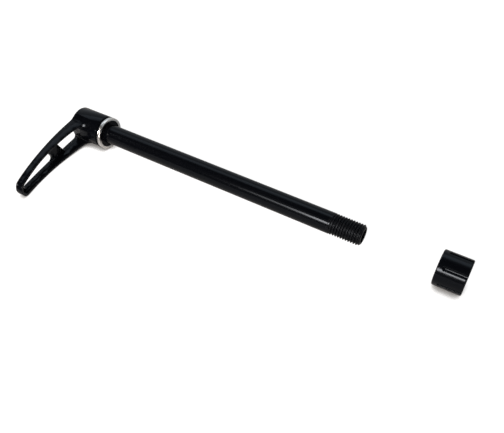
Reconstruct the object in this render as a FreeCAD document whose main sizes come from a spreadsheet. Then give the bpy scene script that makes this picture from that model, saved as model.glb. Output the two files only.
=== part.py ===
import FreeCAD, Part
import math
import os
import Sketcher

# Thru axle with a ratcheting lever and a ribbed barrel nut, in millimetres.
# The origin is the centre of the clamp ring's shaft side, +X runs along the
# shaft to its threaded tip, +Z is up and the lever arm points along -Y.

SIZES = {
    # shaft
    "shaft_length": 173.0,
    "shaft_radius": 6.0,
    "thread_length": 18.0,
    "thread_radius": 5.94,
    "tip_chamfer": 1.1,
    "bore_radius": 3.75,
    "bore_length": 150.0,
    "spigot_radius": 8.35,
    "spigot_recess": 0.45,
    "flange_radius": 9.2,
    "flange_length": 1.4,
    # drive spline between the shaft and the lever
    "spline_root_radius": 6.6,
    "spline_height": 0.6,
    "spline_length": 4.0,
    "spline_teeth": 24,
    "tooth_base_width": 1.1,
    "tooth_crest_width": 0.6,
    "spline_clearance": 0.05,
    # clamp ring and the square rubber ring that keeps it on the spigot
    "ring_radius": 10.0,
    "ring_length": 2.0,
    "ring_clearance": 0.05,
    "ring_edge": 0.3,
    "keeper_width": 0.8,
    "keeper_groove_depth": 0.7,
    "keeper_clearance": 0.02,
    # lever hub
    "hub_radius": 10.0,
    "hub_length": 21.05,
    "hub_inner_chamfer": 0.3,
    "face_gap": 0.05,
    "web_gap": 0.2,
    "web_thickness": 2.0,
    "spring_bore_radius": 7.25,
    "spring_bore_chamfer": 0.6,
    # lever arm, seen along the shaft
    "arm_reach": 65.9,
    "arm_half_width": 7.7,
    "arm_widest_at": 12.0,
    "arm_tip_radius": 4.6,
    "arm_blend_radius": 10.0,
    "arm_droop": 4.6,
    "rail_width": 1.25,
    "root_window_ledge": 0.15,
    "tip_window_ledge": 0.6,
    "window_corner": 2.2,
    "root_window_start": 8.7,
    "root_window_start_slant": 0.15,
    "root_window_end": 24.6,
    "tip_window_start": 33.4,
    "web_slant": 0.43,
    "tip_window_end": 61.6,
    # lever arm, seen from above
    "arm_outer_radius": 271.0,
    "arm_outermost_at": 2.0,
    "arm_edge_chamfer": 1.0,
    "lip_radius": 134.0,
    "lip_lowest_at": 26.0,
    "lip_lowest_outset": 16.1,
    "lip_flare": 5.0,
    "floor_thickness": 2.9,
    # shoulder screw, washers and spring inside the hub
    "screw_thread_radius": 2.5,
    "screw_thread_length": 9.0,
    "screw_thread_clearance": 0.03,
    "screw_hole_runout": 1.0,
    "shoulder_radius": 3.0,
    "shoulder_clearance": 0.06,
    "head_radius": 4.8,
    "head_length": 3.2,
    "head_edge": 0.4,
    "hexagon_flats": 4.0,
    "hexagon_depth": 2.0,
    "washer_radius": 6.6,
    "washer_thickness": 0.8,
    "spring_mean_radius": 5.2,
    "spring_wire_radius": 0.35,
    "spring_length": 8.5,
    "spring_turns": 4.5,
    # barrel nut, taken off and lying in line with the shaft
    "nut_radius": 9.5,
    "nut_length": 15.0,
    "nut_offset": 40.1,
    "nut_clearance": 0.06,
    "nut_bore_chamfer": 0.9,
    "nut_edge": 0.5,
    "nut_collar": 2.6,
    "groove_count": 6,
    "groove_radius": 1.23,
    "groove_depth": 0.8,
    "groove_phase": 13.5,
}

doc = FreeCAD.newDocument("ThruAxle")
sizes = doc.addObject("Spreadsheet::Sheet", "Sizes")
for row, (alias, value) in enumerate(SIZES.items(), start=1):
    sizes.set("A%d" % row, alias)
    sizes.set("B%d" % row, str(value))
    sizes.setAlias("B%d" % row, alias)
doc.recompute()


def worked_out(expression):
    return float(sizes.evalExpression(expression))


def total(*terms):
    return "(" + " + ".join("(%s)" % term for term in terms) + ")"


def less(first, *terms):
    return "(" + " - ".join("(%s)" % term for term in (first,) + terms) + ")"


# Stations along the shaft, from the clamp ring outwards through the hub.
flange_face = less("0", "Sizes.ring_length", "Sizes.flange_length")
axle_end = less(flange_face, "Sizes.spline_length")
hub_face = less(flange_face, "Sizes.face_gap")
hub_end = less(hub_face, "Sizes.hub_length")
web_face = less(axle_end, "Sizes.web_gap")
web_back = less(web_face, "Sizes.web_thickness")
seat_face = less(web_back, "Sizes.face_gap")
seat_back = less(seat_face, "Sizes.washer_thickness")
spring_face = less(seat_back, "Sizes.face_gap")
spring_back = less(spring_face, "Sizes.spring_length")
head_face = less(spring_back, "Sizes.washer_thickness")
head_back = less(head_face, "Sizes.head_length")
tip = "Sizes.shaft_length"

# How far blanks and cuts run past the faces they meet
margin = "2"


# Sketch and feature helpers

def new_body(label):
    body = doc.addObject("PartDesign::Body", label.title().replace("_", ""))
    body.Label = label
    return body


def origin_item(body, role):
    return next(item for item in body.Origin.OriginFeatures if item.Role == role)


def new_sketch(body, plane, name):
    sketch = body.newObject("Sketcher::SketchObject", name)
    sketch.AttachmentSupport = [(origin_item(body, plane), "")]
    sketch.MapMode = "FlatFace"
    return sketch


def dimension(sketch, kind, where, expression):
    # where is the geometry index and, for a point, its position on it
    value = worked_out(expression)
    if kind in ("DistanceX", "DistanceY"):
        constraint = Sketcher.Constraint(kind, -1, 1, where[0], where[1], value)
    else:
        constraint = Sketcher.Constraint(kind, where[0], value)
    index = sketch.addConstraint(constraint)
    sketch.setExpression("Constraints[%d]" % index, expression)


def place(sketch, where, x, y):
    dimension(sketch, "DistanceX", where, x)
    dimension(sketch, "DistanceY", where, y)


def join(sketch, first, second):
    sketch.addConstraint(Sketcher.Constraint("Coincident", *first, *second))


def meet_smoothly(sketch, first, second):
    sketch.addConstraint(Sketcher.Constraint("Tangent", *first, *second))


def guide_point(sketch, x, y):
    spot = Part.Point(FreeCAD.Vector(worked_out(x), worked_out(y), 0))
    index = sketch.addGeometry(spot, True)
    place(sketch, (index, 1), x, y)
    return index


def add_arc(sketch, centre, radius, start, end):
    # counterclockwise from the direction of start to that of end
    circle = Part.Circle(FreeCAD.Vector(*centre, 0), FreeCAD.Vector(0, 0, 1), radius)
    angles = [math.atan2(y - centre[1], x - centre[0]) for x, y in (start, end)]
    return sketch.addGeometry(Part.ArcOfCircle(circle, *angles), False)


def corner_round(spot, back, ahead, radius):
    # centre and two tangent points of a rounding between two directions
    half = ((back - ahead) % (2 * math.pi)) / 2
    reach = radius / math.tan(half)
    away = radius / math.sin(half)
    return [(spot[0] + length * math.cos(angle), spot[1] + length * math.sin(angle))
            for length, angle in ((away, ahead + half), (reach, back), (reach, ahead))]


def direction(start, end):
    return math.atan2(end[1] - start[1], end[0] - start[0])


def line(sketch, start, end):
    return sketch.addGeometry(
        Part.LineSegment(FreeCAD.Vector(*start, 0), FreeCAD.Vector(*end, 0)), False)


def closed_profile(sketch, corners, rounds={}):
    # sides from corner to corner, each corner placed by two expressions; a side
    # named in rounds bulges outwards as an arc of that radius to the next corner
    spots = [(worked_out(x), worked_out(y)) for x, y in corners]
    for index, corner in enumerate(corners):
        start = spots[index]
        end = spots[(index + 1) % len(spots)]
        if index in rounds:
            radius = worked_out(rounds[index])
            rise = math.sqrt(max(radius ** 2 - math.dist(start, end) ** 2 / 4, 0.0))
            across = direction(start, end) + math.pi / 2
            centre = ((start[0] + end[0]) / 2 + rise * math.cos(across),
                      (start[1] + end[1]) / 2 + rise * math.sin(across))
            side = add_arc(sketch, centre, radius, start, end)
            dimension(sketch, "Radius", (side,), rounds[index])
        else:
            side = line(sketch, start, end)
        place(sketch, (side, 1), *corner)
        if index:
            join(sketch, (side - 1, 2), (side, 1))
        else:
            first = side
    join(sketch, (side, 2), (first, 1))


def rounded_profile(sketch, corners, radius):
    # a closed profile with rounded corners; the sharp corners stay as guide points
    spots = [(worked_out(x), worked_out(y)) for x, y in corners]
    marks = [guide_point(sketch, *corner) for corner in corners]
    size = worked_out(radius)
    cuts = []
    for index, spot in enumerate(spots):
        following = spots[(index + 1) % len(spots)]
        back = direction(spot, spots[index - 1])
        cuts.append(corner_round(spot, back, direction(spot, following), size))
    rounds = [add_arc(sketch, centre, size, arrive, leave) for centre, arrive, leave in cuts]
    for index, rounding in enumerate(rounds):
        following = (index + 1) % len(rounds)
        side = line(sketch, cuts[index][2], cuts[following][1])
        for mark in (marks[index], marks[following]):
            sketch.addConstraint(Sketcher.Constraint("PointOnObject", mark, 1, side))
        meet_smoothly(sketch, (rounding, 2), (side, 1))
        meet_smoothly(sketch, (side, 2), (rounds[following], 1))
        dimension(sketch, "Radius", (rounding,), radius)


def feature(body, kind, name, sketch):
    item = body.newObject("PartDesign::" + kind, name)
    item.Profile = sketch
    sketch.Visibility = False
    return item


def revolve(body, kind, name, sketch):
    item = feature(body, kind, name, sketch)
    item.ReferenceAxis = (origin_item(body, "X_Axis"), [""])
    item.Angle = 360


def cut_through(body, name, sketch):
    item = feature(body, "Pocket", name, sketch)
    item.Type = "ThroughAll"
    item.SideType = "Symmetric"


def extrude(body, kind, name, sketch, length):
    item = feature(body, kind, name, sketch)
    item.setExpression("Length", length)
    return item


def repeat_round_axis(body, name, item, count):
    pattern = body.newObject("PartDesign::PolarPattern", name)
    pattern.Originals = [item]
    pattern.Axis = (origin_item(body, "X_Axis"), [""])
    pattern.Angle = 360
    pattern.setExpression("Occurrences", count)
    body.Tip = pattern


def turned(body, name, corners):
    # a body of revolution about the shaft's axis: corners are (along, radius)
    sketch = new_sketch(body, "XY_Plane", name + "Profile")
    closed_profile(sketch, corners)
    revolve(body, "Revolution", name, sketch)


def spline_tooth(body, name, kind, start, length, growth, angle):
    # one tooth or one tooth space on +Y; growth widens the space on each face
    sketch = new_sketch(body, "YZ_Plane", name + "Profile")
    turn = FreeCAD.Rotation(FreeCAD.Vector(0, 0, 1), worked_out(angle))
    sketch.AttachmentOffset = FreeCAD.Placement(FreeCAD.Vector(0, 0, 0), turn)
    sketch.setExpression("AttachmentOffset.Base.z", start)
    sketch.setExpression("AttachmentOffset.Rotation.Angle", angle)
    foot = total("Sizes.spline_root_radius - 0.5 * Sizes.spline_height", growth)
    crest = total("Sizes.spline_root_radius", "Sizes.spline_height", growth)
    half_foot = total("Sizes.tooth_base_width / 2", growth)
    half_crest = total("Sizes.tooth_crest_width / 2", growth)
    closed_profile(sketch, [
        (foot, less("0", half_foot)),
        (crest, less("0", half_crest)),
        (crest, half_crest),
        (foot, half_foot),
    ])
    item = extrude(body, kind, name, sketch, length)
    repeat_round_axis(body, name + "s", item, "Sizes.spline_teeth")


# Shaft: one turned piece with its flange, spigot, drive spline and tapped end

axle_shaft = new_body("axle_shaft")
screw_end = total(axle_end, "Sizes.screw_thread_length")
screw_hole_end = total(screw_end, "Sizes.screw_hole_runout")
screw_hole_radius = total("Sizes.screw_thread_radius", "Sizes.screw_thread_clearance")
keeper_seat = less("Sizes.spigot_radius", "Sizes.keeper_groove_depth")
keeper_front = "((Sizes.keeper_width - Sizes.ring_length) / 2)"
keeper_back = less(keeper_front, "Sizes.keeper_width")
turned(axle_shaft, "ShaftTurning", [
    (less(tip, "Sizes.bore_length"), "0"),
    (less(tip, "Sizes.bore_length"), "Sizes.bore_radius"),
    (tip, "Sizes.bore_radius"),
    (tip, less("Sizes.thread_radius", "Sizes.tip_chamfer")),
    (less(tip, "Sizes.tip_chamfer"), "Sizes.thread_radius"),
    (less(tip, "Sizes.thread_length"), "Sizes.thread_radius"),
    (less(tip, "Sizes.thread_length"), "Sizes.shaft_radius"),
    ("(-Sizes.spigot_recess)", "Sizes.shaft_radius"),
    ("(-Sizes.spigot_recess)", "Sizes.spigot_radius"),
    (keeper_front, "Sizes.spigot_radius"),
    (keeper_front, keeper_seat),
    (keeper_back, keeper_seat),
    (keeper_back, "Sizes.spigot_radius"),
    ("(-Sizes.ring_length)", "Sizes.spigot_radius"),
    ("(-Sizes.ring_length)", "Sizes.flange_radius"),
    (flange_face, "Sizes.flange_radius"),
    (flange_face, "Sizes.spline_root_radius"),
    (axle_end, "Sizes.spline_root_radius"),
    (axle_end, screw_hole_radius),
    (screw_hole_end, screw_hole_radius),
    (screw_hole_end, "0"),
])
spline_tooth(axle_shaft, "SplineTooth", "Pad", axle_end, "Sizes.spline_length", "0",
             "Sizes.arm_droop")

# Clamp ring: turns freely on the spigot

clamp_washer = new_body("clamp_washer")
ring_bore = total("Sizes.spigot_radius", "Sizes.ring_clearance")
turned(clamp_washer, "RingTurning", [
    ("0", ring_bore),
    ("0", less("Sizes.ring_radius", "Sizes.ring_edge")),
    ("(-Sizes.ring_edge)", "Sizes.ring_radius"),
    (less("Sizes.ring_edge", "Sizes.ring_length"), "Sizes.ring_radius"),
    ("(-Sizes.ring_length)", less("Sizes.ring_radius", "Sizes.ring_edge")),
    ("(-Sizes.ring_length)", ring_bore),
])

# Keeper: a square rubber ring in the spigot's groove, just short of the ring's bore

keeper_ring = new_body("keeper_ring")
keeper_rim = less(ring_bore, "Sizes.keeper_clearance")
turned(keeper_ring, "KeeperTurning", [
    (keeper_front, keeper_seat),
    (keeper_front, keeper_rim),
    (keeper_back, keeper_rim),
    (keeper_back, keeper_seat),
])


# Lever: hub and skeleton arm forged as one piece. Its sketches use the arm's
# own directions: the arm runs along -Y, its width along Z, its depth along X.

lever = new_body("lever")
blank_half_width = total("Sizes.hub_radius", margin)
blank_end = total("Sizes.arm_reach", margin)
blank_start = margin
hub_inside = less("Sizes.hub_radius", margin)
straight = less("Sizes.arm_reach", "Sizes.arm_tip_radius", "Sizes.arm_widest_at")
side_radius = ("((%s)^2 + Sizes.arm_half_width^2 - Sizes.arm_tip_radius^2)"
               " / (2 * (Sizes.arm_half_width - Sizes.arm_tip_radius))" % straight)
side_centre = less("Sizes.arm_half_width", side_radius)
blank_back = less(hub_end, margin)

# Curves across the arm's depth, each an arc's centre and its radius: the rails'
# inner edge, and one large arc for the outer face of hub and arm with the
# pocket's floor beside it
face_centre = total(hub_end, "Sizes.arm_outer_radius")
rail_curve = (less("Sizes.lip_radius", "Sizes.lip_lowest_outset"), "(-Sizes.lip_lowest_at)",
              "Sizes.lip_radius")
face_curve = (face_centre, "Sizes.arm_outermost_at", "Sizes.arm_outer_radius")
floor_curve = (face_centre, "Sizes.arm_outermost_at",
               less("Sizes.arm_outer_radius", "Sizes.floor_thickness"))


def curve_arc(sketch, curve, near, far):
    # the part of a curve between two distances from the shaft's axis
    middle_x, middle_y, radius = curve
    size = worked_out(radius)
    centre = (worked_out(middle_x), worked_out(middle_y))
    points = []
    for station in (near, far):
        along = -worked_out(station)
        points.append((centre[0] - math.sqrt(size ** 2 - (along - centre[1]) ** 2), along))
    arc = add_arc(sketch, centre, size, *points)
    place(sketch, (arc, 3), middle_x, middle_y)
    dimension(sketch, "Radius", (arc,), radius)
    return arc, points


def side_profile(name, curve, near, far, back):
    # between a curve and a straight line behind it, with square ends
    sketch = new_sketch(lever, "XY_Plane", name)
    arc, points = curve_arc(sketch, curve, near, far)
    rear_x = worked_out(back)
    corners = [points[0], (rear_x, points[0][1]), (rear_x, points[1][1]), points[1]]
    first, rear, last = [line(sketch, *ends) for ends in zip(corners, corners[1:])]
    join(sketch, (first, 1), (arc, 1))
    join(sketch, (first, 2), (rear, 1))
    join(sketch, (rear, 2), (last, 1))
    join(sketch, (last, 2), (arc, 2))
    dimension(sketch, "DistanceY", (first, 1), less("0", near))
    dimension(sketch, "DistanceY", (last, 2), less("0", far))
    dimension(sketch, "DistanceX", (rear, 1), back)
    for side, way in ((first, "Horizontal"), (rear, "Vertical"), (last, "Horizontal")):
        sketch.addConstraint(Sketcher.Constraint(way, side))
    return sketch


def flare_profile(name):
    # a concave ring that leads from the hub's side down onto the rails' inner edge
    sketch = new_sketch(lever, "XY_Plane", name)
    reach = total("Sizes.hub_radius", "Sizes.lip_flare", margin)
    arc, points = curve_arc(sketch, rail_curve, total("Sizes.hub_radius", "Sizes.lip_flare"), reach)
    flare = worked_out("Sizes.lip_flare")
    middle_x, middle_y, radius = [worked_out(value) for value in rail_curve]
    rise = worked_out("Sizes.hub_radius") + flare
    fillet_x = middle_x - math.sqrt((radius - flare) ** 2 - (rise + middle_y) ** 2)
    wall = -worked_out("Sizes.hub_radius")
    rear_x = worked_out(blank_back)
    inside = -worked_out(hub_inside)
    fillet = add_arc(sketch, (fillet_x, -rise), flare, (fillet_x, wall), points[0])
    dimension(sketch, "Radius", (fillet,), "Sizes.lip_flare")
    corners = [(fillet_x, wall), (fillet_x, inside), (rear_x, inside), (rear_x, points[1][1]),
               points[1]]
    top, core, rear, rim = [line(sketch, *ends) for ends in zip(corners, corners[1:])]
    join(sketch, (fillet, 1), (top, 1))
    join(sketch, (top, 2), (core, 1))
    join(sketch, (core, 2), (rear, 1))
    join(sketch, (rear, 2), (rim, 1))
    join(sketch, (rim, 2), (arc, 2))
    meet_smoothly(sketch, (fillet, 2), (arc, 1))
    dimension(sketch, "DistanceY", (fillet, 1), "(-Sizes.hub_radius)")
    sketch.addConstraint(Sketcher.Constraint("Vertical", fillet, 1, fillet, 3))
    dimension(sketch, "DistanceY", (core, 1), less("0", hub_inside))
    dimension(sketch, "DistanceX", (core, 2), blank_back)
    dimension(sketch, "DistanceY", (rim, 2), less("0", reach))
    for side, way in ((top, "Vertical"), (rear, "Vertical"), (core, "Horizontal"), (rim, "Horizontal")):
        sketch.addConstraint(Sketcher.Constraint(way, side))
    return sketch


def arm_plan(sketch, inset, reach, near):
    # the two long sides and the rounded tip, seen along the shaft; the sides
    # are first drawn from near the station that the rest of the sketch gives them
    side = worked_out(side_radius)
    middle = worked_out(side_centre)
    wide = worked_out("Sizes.arm_widest_at")
    size = side - worked_out(inset)
    far = worked_out(reach)
    length = far - wide
    nose = (size ** 2 - length ** 2 - middle ** 2) / (2 * (size - length))
    centre = (nose - far, 0.0)
    lean = math.atan2(-middle, nose - far + wide)
    meeting = (centre[0] + nose * math.cos(lean), nose * math.sin(lean))
    high = middle + math.sqrt(size ** 2 - (near - wide) ** 2)
    upper = add_arc(sketch, (-wide, middle), size, (-near, high), meeting)
    end = add_arc(sketch, centre, nose, meeting, (meeting[0], -meeting[1]))
    lower = add_arc(sketch, (-wide, -middle), size, (meeting[0], -meeting[1]), (-near, -high))
    for arc, height in ((upper, side_centre), (lower, less("0", side_centre))):
        place(sketch, (arc, 3), "(-Sizes.arm_widest_at)", height)
        dimension(sketch, "Radius", (arc,), less(side_radius, inset))
    meet_smoothly(sketch, (upper, 2), (end, 1))
    meet_smoothly(sketch, (end, 2), (lower, 1))
    mark = guide_point(sketch, less("0", reach), "0")
    sketch.addConstraint(Sketcher.Constraint("PointOnObject", mark, 1, end))
    return upper, lower


def outline_plan(name):
    # everything outside the lever's outline, as a frame round it
    sketch = new_sketch(lever, "YZ_Plane", name)
    hub = worked_out("Sizes.hub_radius")
    blend = worked_out("Sizes.arm_blend_radius")
    high = worked_out("Sizes.arm_half_width") + blend
    back = -math.sqrt((hub + blend) ** 2 - high ** 2)
    upper, lower = arm_plan(sketch, "0", "Sizes.arm_reach", -back)
    share = hub / (hub + blend)
    near = (back * share, high * share)
    top = add_arc(sketch, (back, high), blend, (back, high - blend), near)
    bottom = add_arc(sketch, (back, -high), blend, (near[0], -near[1]), (back, blend - high))
    rim = add_arc(sketch, (0.0, 0.0), hub, (near[0], -near[1]), near)
    for arc in (top, bottom):
        dimension(sketch, "Radius", (arc,), "Sizes.arm_blend_radius")
    place(sketch, (rim, 3), "0", "0")
    dimension(sketch, "Radius", (rim,), "Sizes.hub_radius")
    meet_smoothly(sketch, (upper, 1), (top, 1))
    meet_smoothly(sketch, (top, 2), (rim, 2))
    meet_smoothly(sketch, (lower, 2), (bottom, 2))
    meet_smoothly(sketch, (bottom, 1), (rim, 1))
    outside = total(blank_half_width, "Sizes.lip_flare", margin)
    beyond_tip = total(blank_end, margin)
    closed_profile(sketch, [
        (less("0", beyond_tip), less("0", outside)),
        (outside, less("0", outside)),
        (outside, outside),
        (less("0", beyond_tip), outside),
    ])
    return sketch


def between_rails_plan(name):
    # the space between the rails, closed inside the hub
    sketch = new_sketch(lever, "YZ_Plane", name)
    radius = worked_out(hub_inside)
    high = worked_out("Sizes.arm_half_width") - worked_out("Sizes.rail_width")
    back = -math.sqrt(radius ** 2 - high ** 2)
    upper, lower = arm_plan(sketch, "Sizes.rail_width",
                            less("Sizes.arm_reach", "Sizes.rail_width"), -back)
    closing = add_arc(sketch, (0.0, 0.0), radius, (back, high), (back, -high))
    place(sketch, (closing, 3), "0", "0")
    dimension(sketch, "Radius", (closing,), hub_inside)
    join(sketch, (closing, 1), (upper, 1))
    join(sketch, (closing, 2), (lower, 2))
    return sketch


def root_window_plan(name):
    # drawn level with the rails' inner edge and cut outwards from there
    sketch = new_sketch(lever, "YZ_Plane", name)
    sketch.setExpression("AttachmentOffset.Base.z", "(-Sizes.lip_lowest_outset)")
    window_half = less("Sizes.arm_half_width", "Sizes.rail_width", "Sizes.root_window_ledge")
    narrowed = less(window_half, "(Sizes.root_window_end - Sizes.arm_widest_at)^2 / (2 * %s)"
                    % side_radius)
    lean = "Sizes.root_window_start_slant * %s" % window_half
    slant = "Sizes.web_slant * %s" % narrowed
    rounded_profile(sketch, [
        (less(lean, "Sizes.root_window_start"), less("0", window_half)),
        (less("0", lean, "Sizes.root_window_start"), window_half),
        (less("0", slant, "Sizes.root_window_end"), narrowed),
        (less(slant, "Sizes.root_window_end"), less("0", narrowed)),
    ], "Sizes.window_corner")
    return sketch


def tip_window_plan(name):
    sketch = new_sketch(lever, "YZ_Plane", name)
    window_inset = total("Sizes.rail_width", "Sizes.tip_window_ledge")
    window_half = less("Sizes.arm_half_width", window_inset)
    near = worked_out("Sizes.tip_window_start") + worked_out("Sizes.window_corner")
    upper, lower = arm_plan(sketch, window_inset, "Sizes.tip_window_end", near)
    slant = "Sizes.web_slant * %s" % window_half
    low = (less(slant, "Sizes.tip_window_start"), less("0", window_half))
    high = (less("0", slant, "Sizes.tip_window_start"), window_half)
    marks = [guide_point(sketch, *corner) for corner in (low, high)]
    spots = [(worked_out(x), worked_out(y)) for x, y in (low, high)]
    size = worked_out("Sizes.window_corner")
    rise = direction(*spots)
    arcs = []
    cuts = [corner_round(spots[0], math.pi, rise, size),
            corner_round(spots[1], rise + math.pi, math.pi, size)]
    for centre, arrive, leave in cuts:
        arcs.append(add_arc(sketch, centre, size, arrive, leave))
        dimension(sketch, "Radius", (arcs[-1],), "Sizes.window_corner")
    web_side = line(sketch, cuts[0][2], cuts[1][1])
    for mark in marks:
        sketch.addConstraint(Sketcher.Constraint("PointOnObject", mark, 1, web_side))
    meet_smoothly(sketch, (lower, 2), (arcs[0], 1))
    meet_smoothly(sketch, (arcs[0], 2), (web_side, 1))
    meet_smoothly(sketch, (web_side, 2), (arcs[1], 1))
    meet_smoothly(sketch, (arcs[1], 2), (upper, 1))
    return sketch


def across_arm(name, sketch):
    item = extrude(lever, "Pad", name, sketch, "2 * %s" % blank_half_width)
    item.SideType = "Symmetric"


across_arm("RailBlank", side_profile("RailSide", rail_curve, blank_start, blank_end, blank_back))
revolve(lever, "Revolution", "RailFlare", flare_profile("RailFlareProfile"))
cut_through(lever, "BetweenRails", between_rails_plan("BetweenRailsPlan"))
across_arm("PocketFloor", side_profile("FloorSide", floor_curve, blank_start, blank_end, blank_back))
cut_through(lever, "Outline", outline_plan("OutlinePlan"))
turned(lever, "Hub", [
    (hub_face, "0"),
    (hub_face, less("Sizes.hub_radius", "Sizes.hub_inner_chamfer")),
    (less(hub_face, "Sizes.hub_inner_chamfer"), "Sizes.hub_radius"),
    (blank_back, "Sizes.hub_radius"),
    (blank_back, "0"),
])
cut_through(lever, "OuterFace", side_profile(
    "OuterSide", face_curve, less("0", blank_half_width), total(blank_end, margin),
    less(blank_back, margin)))

# One sloping edge runs all the way round the outer face, over hub and arm
doc.recompute()
blank = lever.Tip
outer_face = next(face for face in blank.Shape.Faces if isinstance(face.Surface, Part.Cylinder)
                  and math.isclose(face.Surface.Radius, worked_out("Sizes.arm_outer_radius")))
rim_edges = ["Edge%d" % number for number, edge in enumerate(blank.Shape.Edges, start=1)
             if any(edge.isSame(other) for other in outer_face.OuterWire.Edges)]
outer_edge = lever.newObject("PartDesign::Chamfer", "OuterEdge")
outer_edge.Base = (blank, rim_edges)
outer_edge.setExpression("Size", "Sizes.arm_edge_chamfer")

root_window = feature(lever, "Pocket", "RootWindow", root_window_plan("RootWindowPlan"))
root_window.Type = "ThroughAll"
cut_through(lever, "TipWindow", tip_window_plan("TipWindowPlan"))

# Hub bores: spline bore, web with the screw's hole, spring bore
minor_radius = total("Sizes.spline_root_radius", "Sizes.spline_clearance")
shoulder_hole = total("Sizes.shoulder_radius", "Sizes.shoulder_clearance")
mouth_radius = total("Sizes.spring_bore_radius", "Sizes.spring_bore_chamfer")
bore_sketch = new_sketch(lever, "XY_Plane", "HubBoreProfile")
closed_profile(bore_sketch, [
    (total(hub_face, margin), "0"),
    (total(hub_face, margin), minor_radius),
    (web_face, minor_radius),
    (web_face, shoulder_hole),
    (web_back, shoulder_hole),
    (web_back, "Sizes.spring_bore_radius"),
    (total(hub_end, "Sizes.spring_bore_chamfer"), "Sizes.spring_bore_radius"),
    (hub_end, mouth_radius),
    (less(hub_end, margin), mouth_radius),
    (less(hub_end, margin), "0"),
])
revolve(lever, "Groove", "HubBores", bore_sketch)
spline_tooth(lever, "SplineSpace", "Pocket", hub_face, less(hub_face, web_face),
             "Sizes.spline_clearance", "0")
lever.Placement = FreeCAD.Placement(FreeCAD.Vector(0, 0, 0),
                                    FreeCAD.Rotation(FreeCAD.Vector(1, 0, 0),
                                                     worked_out("Sizes.arm_droop")))
lever.setExpression("Placement.Rotation.Angle", "Sizes.arm_droop")


# Shoulder screw: threaded into the shaft, its head holds the spring's washer

retaining_screw = new_body("retaining_screw")
turned(retaining_screw, "ScrewTurning", [
    (screw_end, "0"),
    (screw_end, "Sizes.screw_thread_radius"),
    (axle_end, "Sizes.screw_thread_radius"),
    (axle_end, "Sizes.shoulder_radius"),
    (head_face, "Sizes.shoulder_radius"),
    (head_face, "Sizes.head_radius"),
    (total(head_back, "Sizes.head_edge"), "Sizes.head_radius"),
    (head_back, less("Sizes.head_radius", "Sizes.head_edge")),
    (head_back, "0"),
])
hexagon = new_sketch(retaining_screw, "YZ_Plane", "HexagonPlan")
hexagon.setExpression("AttachmentOffset.Base.z", head_back)
flat = "Sizes.hexagon_flats / 2"
half_side = "Sizes.hexagon_flats / (2 * sqrt(3))"
point = "Sizes.hexagon_flats / sqrt(3)"
closed_profile(hexagon, [
    (flat, less("0", half_side)),
    (flat, half_side),
    ("0", point),
    (less("0", flat), half_side),
    (less("0", flat), less("0", half_side)),
    ("0", less("0", point)),
])
socket = extrude(retaining_screw, "Pocket", "HexagonSocket", hexagon, "Sizes.hexagon_depth")
socket.Reversed = True


# Washers and the spring between the web and the screw's head

def washer(label, face):
    body = new_body(label)
    back = less(face, "Sizes.washer_thickness")
    turned(body, label.title().replace("_", "") + "Ring", [
        (face, shoulder_hole),
        (face, "Sizes.washer_radius"),
        (back, "Sizes.washer_radius"),
        (back, shoulder_hole),
    ])
    return body


spring_seat = washer("spring_seat", seat_face)
screw_washer = washer("screw_washer", spring_back)

lever_spring = new_body("lever_spring")
wire = new_sketch(lever_spring, "XY_Plane", "WireSection")
wire_middle = total(spring_back, "Sizes.spring_wire_radius")
half_wire = "Sizes.spring_wire_radius / 2"
wire_height = "(Sizes.spring_wire_radius * sqrt(3) / 2)"
wire_low = less("Sizes.spring_mean_radius", wire_height)
wire_high = total("Sizes.spring_mean_radius", wire_height)
closed_profile(wire, [
    (total(wire_middle, "Sizes.spring_wire_radius"), "Sizes.spring_mean_radius"),
    (total(wire_middle, half_wire), wire_high),
    (less(wire_middle, half_wire), wire_high),
    (less(wire_middle, "Sizes.spring_wire_radius"), "Sizes.spring_mean_radius"),
    (less(wire_middle, half_wire), wire_low),
    (total(wire_middle, half_wire), wire_low),
])
coil = feature(lever_spring, "AdditiveHelix", "Coil", wire)
coil.ReferenceAxis = (origin_item(lever_spring, "X_Axis"), [""])
coil.Mode = "height-turns-angle"
coil.setExpression("Height", less("Sizes.spring_length", "2 * Sizes.spring_wire_radius"))
coil.setExpression("Turns", "Sizes.spring_turns")


# Barrel nut: a turned barrel with a plain collar and round-bottomed grips

barrel_nut = new_body("barrel_nut")
nut_bore = total("Sizes.thread_radius", "Sizes.nut_clearance")
nut_mouth = total(nut_bore, "Sizes.nut_bore_chamfer")
turned(barrel_nut, "NutTurning", [
    ("0", nut_mouth),
    ("0", less("Sizes.nut_radius", "Sizes.nut_edge")),
    ("Sizes.nut_edge", "Sizes.nut_radius"),
    (less("Sizes.nut_length", "Sizes.nut_edge"), "Sizes.nut_radius"),
    ("Sizes.nut_length", less("Sizes.nut_radius", "Sizes.nut_edge")),
    ("Sizes.nut_length", nut_mouth),
    (less("Sizes.nut_length", "Sizes.nut_bore_chamfer"), nut_bore),
    ("Sizes.nut_bore_chamfer", nut_bore),
])
grip_sketch = new_sketch(barrel_nut, "XY_Plane", "GripProfile")
grip_axis = total("Sizes.nut_radius", "Sizes.groove_radius", "-Sizes.groove_depth")
grip_start = total("Sizes.nut_collar", "Sizes.groove_radius")
closed_profile(grip_sketch, [
    (grip_start, less(grip_axis, "Sizes.groove_radius")),
    (total("Sizes.nut_length", margin), less(grip_axis, "Sizes.groove_radius")),
    (total("Sizes.nut_length", margin), grip_axis),
    ("Sizes.nut_collar", grip_axis),
], rounds={3: "Sizes.groove_radius"})
spindle = grip_sketch.addGeometry(
    Part.LineSegment(FreeCAD.Vector(0, worked_out(grip_axis), 0),
                     FreeCAD.Vector(worked_out(grip_start), worked_out(grip_axis), 0)), True)
dimension(grip_sketch, "DistanceY", (spindle, 1), grip_axis)
grip_sketch.addConstraint(Sketcher.Constraint("Horizontal", spindle))
grip = feature(barrel_nut, "Groove", "Grip", grip_sketch)
grip.ReferenceAxis = (grip_sketch, ["Axis0"])
grip.Angle = 360
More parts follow.
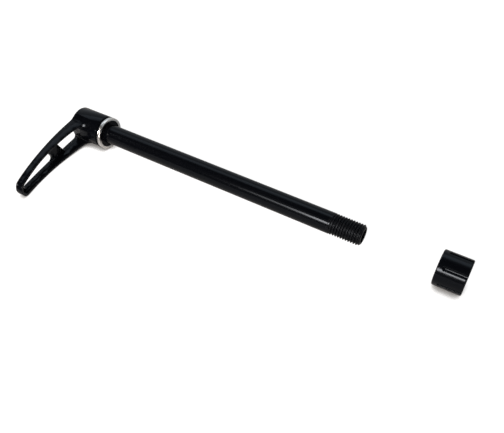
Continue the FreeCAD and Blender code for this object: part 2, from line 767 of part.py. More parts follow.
repeat_round_axis(barrel_nut, "Grips", grip, "Sizes.groove_count")
barrel_nut.Placement = FreeCAD.Placement(FreeCAD.Vector(0, 0, 0),
                                         FreeCAD.Rotation(FreeCAD.Vector(1, 0, 0),
                                                          worked_out("Sizes.groove_phase")))
barrel_nut.setExpression("Placement.Rotation.Angle", "Sizes.groove_phase")
barrel_nut.setExpression("Placement.Base.x", total(tip, "Sizes.nut_offset"))


# Check every object, then write each piece to its own file

doc.recompute()
for item in doc.Objects:
    if "Invalid" in item.State or "Error" in item.State:
        raise RuntimeError("%s failed: %s" % (item.Label, item.State))

pieces = [axle_shaft, clamp_washer, keeper_ring, lever, retaining_screw, screw_washer,
          lever_spring, spring_seat, barrel_nut]
os.makedirs("parts", exist_ok=True)
for piece in pieces:
    shape = piece.Shape
    if shape.isNull() or not shape.isValid():
        raise RuntimeError("%s has no valid shape" % piece.Label)
    print("%-16s %10.2f mm3, %d solid, %d faces"
          % (piece.Label, shape.Volume, len(shape.Solids), len(shape.Faces)))
    shape.exportStep(os.path.join("parts", piece.Label + ".step"))
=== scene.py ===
import math

import bmesh
import bpy
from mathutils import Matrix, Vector


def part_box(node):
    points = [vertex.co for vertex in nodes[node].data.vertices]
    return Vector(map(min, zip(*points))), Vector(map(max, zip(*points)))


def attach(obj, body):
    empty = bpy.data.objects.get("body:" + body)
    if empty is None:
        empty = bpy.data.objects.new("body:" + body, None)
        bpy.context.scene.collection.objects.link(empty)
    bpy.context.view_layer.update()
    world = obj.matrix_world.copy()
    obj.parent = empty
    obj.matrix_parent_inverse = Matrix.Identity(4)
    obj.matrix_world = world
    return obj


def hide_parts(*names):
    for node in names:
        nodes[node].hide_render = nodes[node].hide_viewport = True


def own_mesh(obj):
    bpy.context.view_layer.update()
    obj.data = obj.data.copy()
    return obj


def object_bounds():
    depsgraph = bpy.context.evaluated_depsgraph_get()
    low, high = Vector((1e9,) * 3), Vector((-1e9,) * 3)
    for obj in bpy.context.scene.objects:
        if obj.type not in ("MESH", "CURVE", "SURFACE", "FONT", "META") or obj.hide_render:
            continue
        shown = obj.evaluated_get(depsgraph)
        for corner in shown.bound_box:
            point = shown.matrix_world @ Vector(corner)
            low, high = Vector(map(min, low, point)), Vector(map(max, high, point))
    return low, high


# Thru axle with a skeleton lever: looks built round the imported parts, in metres.
# +X runs along the shaft to its threaded tip, +Z is up, the lever arm lies along -Y.

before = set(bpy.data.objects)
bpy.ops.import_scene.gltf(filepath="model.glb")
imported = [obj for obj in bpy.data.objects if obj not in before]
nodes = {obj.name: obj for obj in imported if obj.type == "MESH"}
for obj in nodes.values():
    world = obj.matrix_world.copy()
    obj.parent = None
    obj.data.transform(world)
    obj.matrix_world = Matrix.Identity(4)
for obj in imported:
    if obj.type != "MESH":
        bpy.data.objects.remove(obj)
cadLow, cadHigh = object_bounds()
mm = 0.001


# Small helpers

mergeReach = {"merge": 0.002 * mm, "collapse": 0.001 * mm}


def addNode(tree, kind, inputs=None, **settings):
    made = tree.nodes.new(kind)
    for key, value in settings.items():
        setattr(made, key, value)
    for key, value in (inputs or {}).items():
        if isinstance(value, bpy.types.NodeSocket):
            tree.links.new(value, made.inputs[key])
        else:
            made.inputs[key].default_value = value
    return made


def calculate(tree, operation, *values):
    inputs = dict(enumerate(values))
    return addNode(tree, "ShaderNodeMath", inputs, operation=operation).outputs[0]


def linkPiece(name, mesh):
    piece = bpy.data.objects.new(name, mesh)
    bpy.context.scene.collection.objects.link(piece)
    return piece


def mergedCopy(name, nodeName):
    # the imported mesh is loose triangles, so its doubles are merged, and its shading is dropped
    shape = bmesh.new()
    shape.from_mesh(nodes[nodeName].data)
    bmesh.ops.remove_doubles(shape, verts=shape.verts, dist=mergeReach["merge"])
    bmesh.ops.dissolve_degenerate(shape, edges=shape.edges, dist=mergeReach["collapse"])
    mesh = bpy.data.meshes.new(name)
    shape.to_mesh(mesh)
    shape.free()
    for layer in ("custom_normal", "sharp_edge"):
        if layer in mesh.attributes:
            mesh.attributes.remove(mesh.attributes[layer])
    mesh.materials.clear()
    return linkPiece(name, mesh)


def settle(piece):
    # the evaluated result becomes a plain mesh and the modifiers go
    graph = bpy.context.evaluated_depsgraph_get()
    mesh = bpy.data.meshes.new_from_object(piece.evaluated_get(graph))
    mesh.name = piece.name
    piece.modifiers.clear()
    piece.data = mesh


def smoothShade(piece, sharpAngle):
    piece.data.shade_smooth()
    piece.data.set_sharp_from_angle(angle=math.radians(sharpAngle))


def roundEdges(piece, sizes):
    bevel = piece.modifiers.new("edgeRound", "BEVEL")
    bevel.width = sizes["edge"]
    bevel.segments = sizes["edgeSteps"]
    bevel.limit_method = "ANGLE"
    bevel.angle_limit = math.radians(sizes["edgeAngle"])
    bevel.miter_outer = "MITER_ARC"
    bevel.harden_normals = True


def turnPiece(name, profileAt, angles):
    # the closed profile of (along, radius) points at each angle, joined round the shaft's axis
    mesh = bpy.data.meshes.new(name)
    points = []
    faces = []
    for step, angle in enumerate(angles):
        profile = profileAt(angle)
        count = len(profile)
        for along, radius in profile:
            points.append((along, radius * math.cos(angle), radius * math.sin(angle)))
        ahead = (step + 1) % len(angles)
        for corner in range(count):
            following = (corner + 1) % count
            faces.append((step * count + corner, step * count + following,
                          ahead * count + following, ahead * count + corner))
    mesh.from_pydata(points, [], faces)
    shape = bmesh.new()
    shape.from_mesh(mesh)
    bmesh.ops.recalc_face_normals(shape, faces=shape.faces)
    shape.to_mesh(mesh)
    shape.free()
    return linkPiece(name, mesh)


def geometryTree(name, inputs):
    tree = bpy.data.node_groups.new(name, "GeometryNodeTree")
    tree.interface.new_socket("Geometry", in_out="OUTPUT", socket_type="NodeSocketGeometry")
    tree.interface.new_socket("Geometry", in_out="INPUT", socket_type="NodeSocketGeometry")
    for label, kind in inputs.items():
        tree.interface.new_socket(label, in_out="INPUT", socket_type="NodeSocket" + kind)
    entry = tree.nodes.new("NodeGroupInput")
    return tree, entry


def closeTree(tree, geometry):
    # what every tree ends in: its instances made real and its material set
    entry = next(item for item in tree.nodes if item.type == "GROUP_INPUT")
    realized = addNode(tree, "GeometryNodeRealizeInstances", {"Geometry": geometry})
    painted = addNode(tree, "GeometryNodeSetMaterial",
                      {"Geometry": realized.outputs[0], "Material": entry.outputs["Material"]})
    addNode(tree, "NodeGroupOutput", {"Geometry": painted.outputs[0]})


def useTree(piece, tree, values):
    # inputs are set by their identifiers before the piece is first evaluated
    modifier = piece.modifiers.new(tree.name, "NODES")
    modifier.node_group = tree
    for item in tree.interface.items_tree:
        if item.in_out == "INPUT" and item.name in values:
            modifier[item.identifier] = values[item.name]


# Shader groups for the finishes, each built once

def shaderGroup(name, inputs, outputs):
    tree = bpy.data.node_groups.new(name, "ShaderNodeTree")
    for label, kind in inputs.items():
        tree.interface.new_socket(label, in_out="INPUT", socket_type="NodeSocket" + kind)
    for label, kind in outputs.items():
        tree.interface.new_socket(label, in_out="OUTPUT", socket_type="NodeSocket" + kind)
    return tree, tree.nodes.new("NodeGroupInput").outputs


def fineGrainGroup():
    tree, given = shaderGroup(
        "fineGrain", {"Place": "Vector", "Scale": "Float", "Low": "Float", "High": "Float"},
        {"Value": "Float", "Height": "Float"})
    noise = addNode(tree, "ShaderNodeTexNoise",
                    {"Vector": given["Place"], "Scale": given["Scale"], "Detail": 4.0,
                     "Roughness": 0.6})
    spread = addNode(tree, "ShaderNodeMapRange",
                     {"Value": noise.outputs["Fac"], "From Min": 0.3, "From Max": 0.7,
                      "To Min": given["Low"], "To Max": given["High"]})
    addNode(tree, "NodeGroupOutput", {"Value": spread.outputs["Result"],
                                      "Height": noise.outputs["Fac"]})
    return tree


def turnedMarksGroup():
    # fine rings left by turning, on round walls and on end faces alike
    tree, given = shaderGroup("turnedMarks", {"Place": "Vector", "Scale": "Float"},
                              {"Height": "Float"})
    parts = addNode(tree, "ShaderNodeSeparateXYZ", {"Vector": given["Place"]}).outputs
    ySquare = calculate(tree, "MULTIPLY", parts["Y"], parts["Y"])
    zSquare = calculate(tree, "MULTIPLY", parts["Z"], parts["Z"])
    radius = calculate(tree, "SQRT", calculate(tree, "ADD", ySquare, zSquare))
    along = calculate(tree, "ADD", parts["X"], radius)
    noise = addNode(tree, "ShaderNodeTexNoise",
                    {"W": along, "Scale": given["Scale"], "Detail": 2.0}, noise_dimensions="1D")
    addNode(tree, "NodeGroupOutput", {"Height": noise.outputs["Fac"]})
    return tree


def edgeWearSheenGroup():
    # a mask where the surface bends within a small radius, which lightens the colour there: partly
    # edge wear, partly a painted sheen
    tree, given = shaderGroup("edgeWearSheen", {"Radius": "Float", "Gain": "Float"},
                              {"Mask": "Float"})
    softened = addNode(tree, "ShaderNodeBevel", {"Radius": given["Radius"]}, samples=4)
    surface = tree.nodes.new("ShaderNodeNewGeometry")
    likeness = addNode(tree, "ShaderNodeVectorMath",
                       {0: softened.outputs["Normal"], 1: surface.outputs["Normal"]},
                       operation="DOT_PRODUCT").outputs["Value"]
    bend = calculate(tree, "SUBTRACT", 1.0, likeness)
    mask = addNode(tree, "ShaderNodeMath", {0: bend, 1: given["Gain"]},
                   operation="MULTIPLY", use_clamp=True)
    addNode(tree, "NodeGroupOutput", {"Mask": mask.outputs[0]})
    return tree


def dustGroup():
    # small specks, gathered in patches
    tree, given = shaderGroup("dustSpecks", {"Place": "Vector", "Scale": "Float", "Size": "Float"},
                              {"Mask": "Float"})
    cells = addNode(tree, "ShaderNodeTexVoronoi",
                    {"Vector": given["Place"], "Scale": given["Scale"], "Randomness": 1.0})
    patches = addNode(tree, "ShaderNodeTexNoise",
                      {"Vector": given["Place"], "Scale": 90.0, "Detail": 1.0})
    reach = calculate(tree, "MULTIPLY", given["Size"], patches.outputs["Fac"])
    mask = calculate(tree, "LESS_THAN", cells.outputs["Distance"], reach)
    addNode(tree, "NodeGroupOutput", {"Mask": mask})
    return tree


fineGrain = fineGrainGroup()
turnedMarks = turnedMarksGroup()
edgeWearSheen = edgeWearSheenGroup()
dustSpecks = dustGroup()


def addGroup(tree, group, inputs):
    return addNode(tree, "ShaderNodeGroup", inputs, node_tree=group).outputs


def blendColour(tree, share, first, second):
    mixed = addNode(tree, "ShaderNodeMix", {0: share, 6: first, 7: second}, data_type="RGBA")
    return mixed.outputs[2]


def makeFinish(name, look):
    material = bpy.data.materials.new(name)
    material.use_nodes = True
    tree = material.node_tree
    shader = tree.nodes["Principled BSDF"]
    shader.inputs["Metallic"].default_value = look["metal"]
    shader.inputs["IOR"].default_value = look["ior"]
    shader.inputs["Specular IOR Level"].default_value = look["specular"]
    shader.inputs["Specular Tint"].default_value = (*look["specularTint"], 1)
    place = tree.nodes.new("ShaderNodeTexCoord").outputs["Object"]
    grain = addGroup(tree, fineGrain, {"Place": place, "Scale": look["grainScale"],
                                       "Low": look["smoothest"], "High": look["roughest"]})
    marks = addGroup(tree, turnedMarks, {"Place": place, "Scale": look["marksScale"]})
    edges = addGroup(tree, edgeWearSheen, {"Radius": look["edgeRadius"], "Gain": look["edgeGain"]})
    dust = addGroup(tree, dustSpecks, {"Place": place, "Scale": look["dustScale"],
                                       "Size": look["dustSize"]})
    tone = blendColour(tree, grain["Height"], (*look["colour"], 1), (*look["shade"], 1))
    # tight edges get a lighter colour, partly edge wear and partly a painted sheen along them
    wornAndSheened = blendColour(tree, edges["Mask"], tone, (*look["edgeWearSheenColour"], 1))
    dusted = calculate(tree, "MULTIPLY", dust["Mask"], look["dustShare"])
    coloured = blendColour(tree, dusted, wornAndSheened, (*look["dustColour"], 1))
    tree.links.new(coloured, shader.inputs["Base Color"])
    rough = calculate(tree, "ADD", grain["Value"], dusted)
    if "threadFrom" in look:
        # the cut thread is less glossy than the drawn shaft
        along = addNode(tree, "ShaderNodeSeparateXYZ", {"Vector": place}).outputs["X"]
        onThread = calculate(tree, "GREATER_THAN", along, look["threadFrom"])
        rough = calculate(tree, "MULTIPLY_ADD", onThread, look["threadRough"], rough)
    tree.links.new(rough, shader.inputs["Roughness"])
    relief = addNode(tree, "ShaderNodeBump",
                     {"Strength": look["marksDepth"], "Distance": look["bumpReach"],
                      "Height": marks["Height"]})
    skin = addNode(tree, "ShaderNodeBump",
                   {"Strength": look["grainDepth"], "Distance": look["bumpReach"],
                    "Height": grain["Height"], "Normal": relief.outputs["Normal"]})
    tree.links.new(skin.outputs["Normal"], shader.inputs["Normal"])
    return material


anodisedLook = {
    "metal": 0.0, "ior": 1.45, "specular": 0.15, "specularTint": (0.78, 0.88, 1.0),
    "colour": (0.0009, 0.0011, 0.0018), "shade": (0.0018, 0.0021, 0.0029),
    "grainScale": 1400.0, "smoothest": 0.15, "roughest": 0.18, "grainDepth": 0.03,
    "marksScale": 3000.0, "marksDepth": 0.0, "bumpReach": 0.01 * mm,
    "edgeRadius": 0.25 * mm, "edgeGain": 1.2, "edgeWearSheenColour": (0.035, 0.036, 0.04),
    "dustScale": 700.0, "dustSize": 0.1, "dustShare": 0.1, "dustColour": (0.12, 0.12, 0.12),
}
steelLook = {
    **anodisedLook, "metal": 1.0, "ior": 2.5, "specular": 0.5, "specularTint": (1.0, 1.0, 1.0),
    "colour": (0.9, 0.89, 0.87), "shade": (0.76, 0.75, 0.73),
    "smoothest": 0.24, "roughest": 0.34, "marksScale": 6000.0, "marksDepth": 0.35,
    "edgeWearSheenColour": (0.9, 0.89, 0.87), "edgeGain": 0.8,
}
finishes = {
    "shaftBlack": {**anodisedLook, "marksDepth": 0.03, "threadFrom": 155.0 * mm,
                   "threadRough": 0.26},
    "leverBlack": {**anodisedLook, "grainDepth": 0.08},
    "nutBlack": {**anodisedLook, "marksDepth": 0.03},
    "ringSteel": steelLook,
    "washerSteel": {**steelLook, "colour": (0.6, 0.6, 0.59), "shade": (0.45, 0.45, 0.44)},
    "springSteel": {**steelLook, "marksDepth": 0.0, "colour": (0.5, 0.5, 0.5),
                    "shade": (0.38, 0.38, 0.38)},
    "screwBlack": {**steelLook, "colour": (0.05, 0.05, 0.055), "shade": (0.03, 0.03, 0.033),
                   "edgeWearSheenColour": (0.2, 0.2, 0.2), "smoothest": 0.3, "roughest": 0.42},
    "sealRubber": {**anodisedLook, "specular": 0.4, "specularTint": (1.0, 1.0, 1.0),
                   "colour": (0.012, 0.012, 0.012), "shade": (0.02, 0.02, 0.02),
                   "smoothest": 0.55, "roughest": 0.75, "grainDepth": 0.5, "edgeGain": 0.2},
}
finish = {name: makeFinish(name, look) for name, look in finishes.items()}
print("finishes ready")


# Shaft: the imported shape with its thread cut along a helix

threadInputs = {"Pitch": "Float", "Turns": "Float", "Radius": "Float", "Start": "Float",
                "Half Width": "Float", "Rise": "Float", "Flat": "Float", "Lift": "Float",
                "Lift Turns": "Float", "Steps": "Int"}


def helixTree():
    # a ridge or cutter with a V section, swept along a right-hand helix on +X, which begins
    # Lift further out and comes in over Lift Turns, so that a cut runs out gently
    tree, entry = geometryTree("helixSweep", threadInputs)
    given = entry.outputs
    height = calculate(tree, "MULTIPLY", given["Pitch"], given["Turns"])
    spiral = addNode(tree, "GeometryNodeCurveSpiral",
                     {"Resolution": given["Steps"], "Rotations": given["Turns"],
                      "Start Radius": given["Radius"], "End Radius": given["Radius"],
                      "Height": height})
    position = tree.nodes.new("GeometryNodeInputPosition").outputs[0]
    parts = addNode(tree, "ShaderNodeSeparateXYZ", {"Vector": position}).outputs
    liftLength = calculate(tree, "MULTIPLY", given["Lift Turns"], given["Pitch"])
    share = addNode(tree, "ShaderNodeMapRange",
                    {"Value": parts["Z"], "From Min": 0.0, "From Max": liftLength,
                     "To Min": given["Lift"], "To Max": 0.0}).outputs["Result"]
    outward = addNode(tree, "ShaderNodeCombineXYZ", {"X": parts["X"], "Y": parts["Y"]}).outputs[0]
    unit = addNode(tree, "ShaderNodeVectorMath", {0: outward}, operation="NORMALIZE").outputs[0]
    lift = addNode(tree, "ShaderNodeVectorMath", {0: unit, "Scale": share}, operation="SCALE")
    raised = addNode(tree, "GeometryNodeSetPosition",
                     {"Geometry": spiral.outputs[0], "Offset": lift.outputs[0]})
    upright = addNode(tree, "GeometryNodeSetCurveNormal", {"Curve": raised.outputs[0]},
                      mode="Z_UP")
    inward = calculate(tree, "MULTIPLY", given["Rise"], -1.0)
    corners = []
    for side, across, depth in ((-1.0, "Half Width", 0.0), (1.0, "Half Width", 0.0),
                                (1.0, "Flat", inward), (-1.0, "Flat", inward)):
        reach = calculate(tree, "MULTIPLY", given[across], side)
        corner = addNode(tree, "ShaderNodeCombineXYZ", {"X": depth, "Y": reach})
        corners.append(corner.outputs[0])
    section = addNode(tree, "GeometryNodeCurvePrimitiveQuadrilateral",
                      {"Point %d" % (index + 1): corner for index, corner in enumerate(corners)},
                      mode="POINTS")
    swept = addNode(tree, "GeometryNodeCurveToMesh",
                    {"Curve": upright.outputs[0], "Profile Curve": section.outputs[0],
                     "Fill Caps": True})
    shift = addNode(tree, "ShaderNodeCombineXYZ", {"X": given["Start"]}).outputs[0]
    turned = addNode(tree, "GeometryNodeTransform",
                     {"Geometry": swept.outputs[0], "Translation": shift,
                      "Rotation": (0.0, math.pi / 2, 0.0)})
    addNode(tree, "NodeGroupOutput", {"Geometry": turned.outputs[0]})
    return tree


helixSweep = helixTree()


def threadTree(name, cut):
    tree, entry = geometryTree(name, {**threadInputs, "Material": "Material"})
    helix = addNode(tree, "GeometryNodeGroup",
                    {label: entry.outputs[label] for label in threadInputs},
                    node_tree=helixSweep).outputs["Geometry"]
    if cut:
        shaped = addNode(tree, "GeometryNodeMeshBoolean", operation="DIFFERENCE", solver="MANIFOLD")
        tree.links.new(entry.outputs["Geometry"], shaped.inputs[0])
        tree.links.new(helix, shaped.inputs[1])
    else:
        # a ridge that rises inwards comes out of the sweep inside out
        ridge = addNode(tree, "GeometryNodeFlipFaces", {0: helix})
        shaped = tree.nodes.new("GeometryNodeJoinGeometry")
        tree.links.new(ridge.outputs[0], shaped.inputs[0])
        tree.links.new(entry.outputs["Geometry"], shaped.inputs[0])
    closeTree(tree, shaped.outputs[0])
    return tree


shaftThread = {
    "Pitch": 1.5 * mm, "Turns": 13.5, "Radius": 5.12 * mm, "Start": 153.6 * mm,
    "Half Width": 0.09 * mm, "Rise": 1.15 * mm, "Flat": 0.86 * mm,
    "Lift": 0.9 * mm, "Lift Turns": 2.0, "Steps": 56, "sharpAngle": 24,
}
shaft = mergedCopy("threadedShaft", "axle_shaft")
useTree(shaft, threadTree("cutThread", True), {**shaftThread, "Material": finish["shaftBlack"]})
settle(shaft)
smoothShade(shaft, shaftThread["sharpAngle"])
print("shaft ready, faces:", len(shaft.data.polygons))


# Lever: one forged piece with small rounds on its edges

leverSizes = {"edge": 0.35 * mm, "edgeSteps": 2, "edgeAngle": 28, "sharpAngle": 30}
lever = mergedCopy("skeletonLever", "lever")
roundEdges(lever, leverSizes)
settle(lever)
lever.data.materials.append(finish["leverBlack"])
smoothShade(lever, leverSizes["sharpAngle"])
print("lever ready, faces:", len(lever.data.polygons))


# Clamp ring: turned steel with broken edges

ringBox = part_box("clamp_washer")
ringSizes = {"bore": 8.4 * mm, "segments": 128,
             "edge": 0.25 * mm, "edgeSteps": 3, "edgeAngle": 40, "sharpAngle": 35}
ringProfile = [
    (ringBox[0].x, ringSizes["bore"]),
    (ringBox[0].x, ringBox[1].z),
    (ringBox[1].x, ringBox[1].z),
    (ringBox[1].x, ringSizes["bore"]),
]
ringAngles = [2 * math.pi * step / ringSizes["segments"] for step in range(ringSizes["segments"])]
ring = turnPiece("clampRing", lambda angle: ringProfile, ringAngles)
roundEdges(ring, ringSizes)
settle(ring)
ring.data.materials.append(finish["ringSteel"])
smoothShade(ring, ringSizes["sharpAngle"])
print("clamp ring ready")


# Lever spring: round wire wound on an even helix

def springTree():
    tree, entry = geometryTree("springCoil", {
        "Wire Radius": "Float", "Wire Sides": "Int", "Coil Radius": "Float", "Length": "Float",
        "Turns": "Float", "Start": "Float", "Steps": "Int", "Material": "Material"})
    given = entry.outputs
    wireWidth = calculate(tree, "MULTIPLY", given["Wire Radius"], 2.0)
    travel = calculate(tree, "SUBTRACT", given["Length"], wireWidth)
    spiral = addNode(tree, "GeometryNodeCurveSpiral",
                     {"Resolution": given["Steps"], "Rotations": given["Turns"],
                      "Start Radius": given["Coil Radius"], "End Radius": given["Coil Radius"],
                      "Height": travel})
    circle = addNode(tree, "GeometryNodeCurvePrimitiveCircle",
                     {"Resolution": given["Wire Sides"], "Radius": given["Wire Radius"]})
    swept = addNode(tree, "GeometryNodeCurveToMesh",
                    {"Curve": spiral.outputs[0], "Profile Curve": circle.outputs[0],
                     "Fill Caps": True})
    first = calculate(tree, "ADD", given["Start"], given["Wire Radius"])
    shift = addNode(tree, "ShaderNodeCombineXYZ", {"X": first}).outputs[0]
    turned = addNode(tree, "GeometryNodeTransform",
                     {"Geometry": swept.outputs[0], "Translation": shift,
                      "Rotation": (0.0, math.pi / 2, 0.0)})
    smooth = addNode(tree, "GeometryNodeSetShadeSmooth", {"Geometry": turned.outputs[0]})
    closeTree(tree, smooth.outputs[0])
    return tree


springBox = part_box("lever_spring")
springSizes = {"Wire Radius": 0.35 * mm, "Wire Sides": 12, "Coil Radius": 5.2 * mm, "Turns": 4.5,
               "Start": springBox[0].x, "Length": springBox[1].x - springBox[0].x, "Steps": 40}
spring = linkPiece("leverSpring", bpy.data.meshes.new("leverSpring"))
useTree(spring, springTree(), {**springSizes, "Material": finish["springSteel"]})
settle(spring)
print("spring ready, faces:", len(spring.data.polygons))


# Barrel nut: a turned barrel with round-bottomed grips past its collar, and a thread in the bore

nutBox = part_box("barrel_nut")
nutSizes = {
    "start": nutBox[0].x, "length": nutBox[1].x - nutBox[0].x, "radius": 9.5 * mm,
    "bore": 6.06 * mm, "mouth": 0.9 * mm,
    "grips": 6, "phase": 13.5, "depth": 0.8 * mm, "gripRadius": 1.23 * mm, "collar": 2.6 * mm,
    "soften": 0.25 * mm, "sharpAngle": 30,
    # (inset, drop) of the chamfers and the mesh's rings along the barrel, in mm, and its
    # lines to each side of a grip's middle, in degrees: both are finer where a grip's edge runs
    "rim": ((0.0, 0.5), (0.035, 0.42), (0.42, 0.035), (0.5, 0.0)),
    "alongs": (0.9, 1.8, 2.6, 2.68, 2.76, 2.88, 3.05, 3.25, 3.5, 3.85, 6.0, 9.0, 12.0, 14.2),
    "besides": (0.0, 1.0, 2.0, 2.8, 3.5, 4.1, 4.6, 4.9, 5.15, 5.4, 5.8, 6.4, 7.5, 10.0, 13.0,
                16.0, 19.0, 22.0, 25.0, 28.0),
    "thread": {"Pitch": 1.5 * mm, "Turns": 8.8, "Radius": 6.08 * mm, "Start": 214.1 * mm,
               "Half Width": 0.6 * mm, "Rise": -0.85 * mm, "Flat": 0.1 * mm,
               "Lift": 0.0, "Lift Turns": 1.0, "Steps": 48},
}


def barrelOutline(sizes):
    # (along, radius) of the barrel before its grips, with softened chamfers at both ends
    rim = [(inset * mm, sizes["radius"] - drop * mm) for inset, drop in sizes["rim"]]
    middle = [(along * mm, sizes["radius"]) for along in sizes["alongs"]]
    return rim + middle + [(sizes["length"] - along, radius) for along, radius in reversed(rim)]


def gripped(sizes, barrel, along, offset):
    # the barrel's radius, or the grip's where it is deeper, with a softened edge between them
    axis = sizes["radius"] + sizes["gripRadius"] - sizes["depth"]
    ahead = max(0.0, sizes["collar"] + sizes["gripRadius"] - along)
    reach = sizes["gripRadius"] ** 2 - ahead ** 2 - (axis * math.sin(offset)) ** 2
    if reach <= 0:
        return barrel
    grip = axis * math.cos(offset) - math.sqrt(reach)
    blend = max(sizes["soften"] - abs(barrel - grip), 0.0) / sizes["soften"]
    return min(barrel, grip) - blend ** 2 * sizes["soften"] / 4


def nutProfile(angle):
    sizes = nutSizes
    spacing = 2 * math.pi / sizes["grips"]
    offset = (angle - math.radians(sizes["phase"]) + spacing / 2) % spacing - spacing / 2
    outside = [(sizes["start"] + along, gripped(sizes, barrel, along, offset))
               for along, barrel in barrelOutline(sizes)]
    end = sizes["start"] + sizes["length"]
    inside = [(end, sizes["bore"] + sizes["mouth"]), (end - sizes["mouth"], sizes["bore"]),
              (sizes["start"] + sizes["mouth"], sizes["bore"]),
              (sizes["start"], sizes["bore"] + sizes["mouth"])]
    return outside + inside


nutAngles = []
for gripIndex in range(nutSizes["grips"]):
    middle = nutSizes["phase"] + 360 * gripIndex / nutSizes["grips"]
    before = [middle - beside for beside in reversed(nutSizes["besides"][1:])]
    nutAngles += [math.radians(angle) for angle in
                  before + [middle + beside for beside in nutSizes["besides"]]]
nut = turnPiece("barrelNut", nutProfile, nutAngles)
useTree(nut, threadTree("boreThread", False),
        {**nutSizes["thread"], "Material": finish["nutBlack"]})
settle(nut)
smoothShade(nut, nutSizes["sharpAngle"])
print("nut ready, faces:", len(nut.data.polygons))


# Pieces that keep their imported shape

for nodeName, finishName in (("retaining_screw", "screwBlack"), ("screw_washer", "washerSteel"),
                             ("spring_seat", "washerSteel"), ("keeper_ring", "sealRubber")):
    mesh = nodes[nodeName].data
    mesh.materials.clear()
    mesh.materials.append(finish[finishName])
print("small pieces finished")


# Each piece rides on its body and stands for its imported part

for piece, body, nodeName, slotName in (
        (shaft, "axle", "axle_shaft", "shaft_black"),
        (lever, "lever", "lever", "lever_black"),
        (ring, "washer", "clamp_washer", "ring_steel"),
        (spring, "axle", "lever_spring", "spring_steel"),
        (nut, "nut", "barrel_nut", "nut_black")):
    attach(piece, body)
    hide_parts(nodeName)

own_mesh(spring)
print("pieces placed")


# Floor, soft light and camera

studio = {
    "floor": {
        "size": 12.0, "gap": 0.02 * mm, "tone": 0.84, "fibreScale": 900.0, "fibreTone": 0.004,
        "white": 0.93, "shadow": 0.25, "mirrorWhite": 0.1, "mirrorShare": 0.5,
        "reach": 5.0 * mm, "closed": 0.2, "open": 0.78, "shade": 0.05,
    },
    "sky": {
        "ahead": 0.985, "down": 0.174, "blend": 0.25,
        "back": 0.55, "front": 0.02, "soft": 0.3, "tint": (0.88, 0.94, 1.0),
    },
    "lamps": {
        "backSoftbox": {"at": (-0.2, 0.38, 0.82), "aim": (0.02, 0.0, 0.0), "size": (1.3, 0.36),
                        "radiance": 1.2, "tint": (0.86, 0.93, 1.0)},
        "frontStrip": {"at": (0.125, -0.41, 0.242), "aim": (0.15, 0.0, 0.0), "size": (0.25, 0.12),
                       "radiance": 38.0, "tint": (1.0, 0.91, 0.84)},
        "frontTail": {"at": (-0.045, -0.41, 0.242), "aim": (0.1, 0.0, 0.0), "size": (0.09, 0.09),
                      "radiance": 10.0, "tint": (1.0, 0.91, 0.84)},
        "hubSpot": {"at": (-0.43, -0.31, 0.26), "aim": (0.0, 0.0, 0.0), "size": (0.04, 0.18),
                    "radiance": 24.0, "tint": (1.0, 0.97, 0.93)},
    },
    "camera": {"at": (0.2302, -0.2075, 0.2188), "turn": (45.39, 0.0, 31.12), "lens": 41.12,
               "sensor": 36.0, "clipStart": 0.01},
}


def makeFloor(look):
    # plain paper to the light, near white to the eye and dim in reflections, where it is a darker
    # copy of itself, painted shade; to both it carries a painted shadow close under the object,
    # darker where ambient occlusion finds little of the room reaching it
    material = bpy.data.materials.new("floorPaper")
    material.use_nodes = True
    tree = material.node_tree
    tree.nodes.clear()
    place = tree.nodes.new("ShaderNodeTexCoord").outputs["Object"]
    fibres = addGroup(tree, fineGrain, {"Place": place, "Scale": look["fibreScale"],
                                        "Low": look["tone"] - look["fibreTone"],
                                        "High": look["tone"]})
    paper = addNode(tree, "ShaderNodeBsdfDiffuse", {"Color": fibres["Value"]}).outputs[0]
    near = addNode(tree, "ShaderNodeAmbientOcclusion", {"Distance": look["reach"]},
                   samples=8).outputs["AO"]
    # painted shadow: ambient occlusion close under the object, mapped from shade up to 1, darkens
    # the floor's glow and, in reflections, its paper colour
    paintedContactShadow = addNode(tree, "ShaderNodeMapRange",
                      {"Value": near, "From Min": look["closed"], "From Max": look["open"],
                       "To Min": look["shade"], "To Max": 1.0},
                      interpolation_type="SMOOTHSTEP").outputs["Result"]

    def paperWithPaintedShadow(share, white):
        tone = calculate(tree, "MULTIPLY", fibres["Value"], share)
        diffuse = addNode(tree, "ShaderNodeBsdfDiffuse", {"Color": tone}).outputs[0]
        strength = calculate(tree, "MULTIPLY", paintedContactShadow, white)
        glow = addNode(tree, "ShaderNodeEmission", {"Strength": strength}).outputs[0]
        return addNode(tree, "ShaderNodeAddShader", {0: diffuse, 1: glow}).outputs[0]

    rays = tree.nodes.new("ShaderNodeLightPath").outputs
    mirrored = calculate(tree, "MAXIMUM", rays["Is Glossy Ray"], rays["Is Transmission Ray"])
    # in reflections the paper is a darker copy, its tone scaled by mirrorShare and the painted
    # shadow: painted shade
    mirrorPaintedShade = calculate(tree, "MULTIPLY", paintedContactShadow, look["mirrorShare"])
    inMirror = addNode(tree, "ShaderNodeMixShader",
                       {0: mirrored, 1: paper, 2: paperWithPaintedShadow(mirrorPaintedShade, look["mirrorWhite"])})
    toEye = addNode(tree, "ShaderNodeMixShader",
                    {0: rays["Is Camera Ray"], 1: inMirror.outputs[0],
                     2: paperWithPaintedShadow(look["shadow"], look["white"])})
    addNode(tree, "ShaderNodeOutputMaterial", {"Surface": toEye.outputs[0]})
    half = look["size"] / 2
    level = cadLow.z - look["gap"]
    mesh = bpy.data.meshes.new("floor")
    mesh.from_pydata([(-half, -half, level), (half, -half, level), (half, half, level),
                      (-half, half, level)], [], [(0, 1, 2, 3)])
    mesh.materials.append(material)
    linkPiece("floor", mesh)


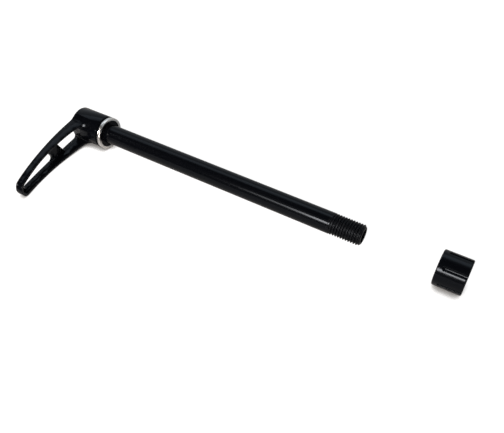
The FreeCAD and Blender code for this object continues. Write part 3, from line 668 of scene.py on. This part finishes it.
def makeSky(look):
    # white to the eye, an even soft light on surfaces, and in reflections a bright wall
    # on the +Y side with a dark room on the other
    world = bpy.data.worlds.new("studio")
    bpy.context.scene.world = world
    world.use_nodes = True
    tree = world.node_tree
    tree.nodes.clear()
    way = tree.nodes.new("ShaderNodeTexCoord").outputs["Generated"]
    parts = addNode(tree, "ShaderNodeSeparateXYZ", {"Vector": way}).outputs
    ahead = calculate(tree, "MULTIPLY", parts["Y"], look["ahead"])
    below = calculate(tree, "MULTIPLY", parts["Z"], look["down"])
    lean = calculate(tree, "SUBTRACT", ahead, below)
    wall = addNode(tree, "ShaderNodeMapRange",
                   {"Value": lean, "From Min": 0.0, "From Max": look["blend"],
                    "To Min": look["front"], "To Max": look["back"]},
                   interpolation_type="SMOOTHSTEP").outputs["Result"]
    rays = tree.nodes.new("ShaderNodeLightPath").outputs
    seen = calculate(tree, "MAXIMUM", rays["Is Camera Ray"], rays["Is Transmission Ray"])
    mirrored = addNode(tree, "ShaderNodeMix", {0: rays["Is Glossy Ray"], 2: look["soft"],
                                               3: wall}).outputs[0]
    level = addNode(tree, "ShaderNodeMix", {0: seen, 2: mirrored, 3: 1.0}).outputs[0]
    tone = blendColour(tree, rays["Is Glossy Ray"], (1, 1, 1, 1), (*look["tint"], 1))
    light = addNode(tree, "ShaderNodeBackground", {"Color": tone, "Strength": level})
    addNode(tree, "ShaderNodeOutputWorld", {"Surface": light.outputs[0]})


def makeLamp(name, lamp):
    light = bpy.data.lights.new(name, "AREA")
    light.shape = "RECTANGLE"
    light.size, light.size_y = lamp["size"]
    light.energy = lamp["radiance"] * math.pi * light.size * light.size_y
    light.color = lamp["tint"]
    holder = bpy.data.objects.new(name, light)
    bpy.context.scene.collection.objects.link(holder)
    holder.location = lamp["at"]
    towards = Vector(lamp["aim"]) - Vector(lamp["at"])
    holder.rotation_euler = towards.to_track_quat("-Z", "Y").to_euler()


def makeCamera(view):
    camera = bpy.data.objects.new("camera", bpy.data.cameras.new("camera"))
    bpy.context.scene.collection.objects.link(camera)
    camera.data.sensor_width = view["sensor"]
    camera.data.lens = view["lens"]
    camera.data.clip_start = view["clipStart"]
    camera.location = view["at"]
    camera.rotation_euler = [math.radians(angle) for angle in view["turn"]]
    bpy.context.scene.camera = camera


makeFloor(studio["floor"])
makeSky(studio["sky"])
for lampName, lamp in studio["lamps"].items():
    makeLamp(lampName, lamp)
makeCamera(studio["camera"])
bpy.context.scene.view_settings.view_transform = "Standard"
print("studio ready")
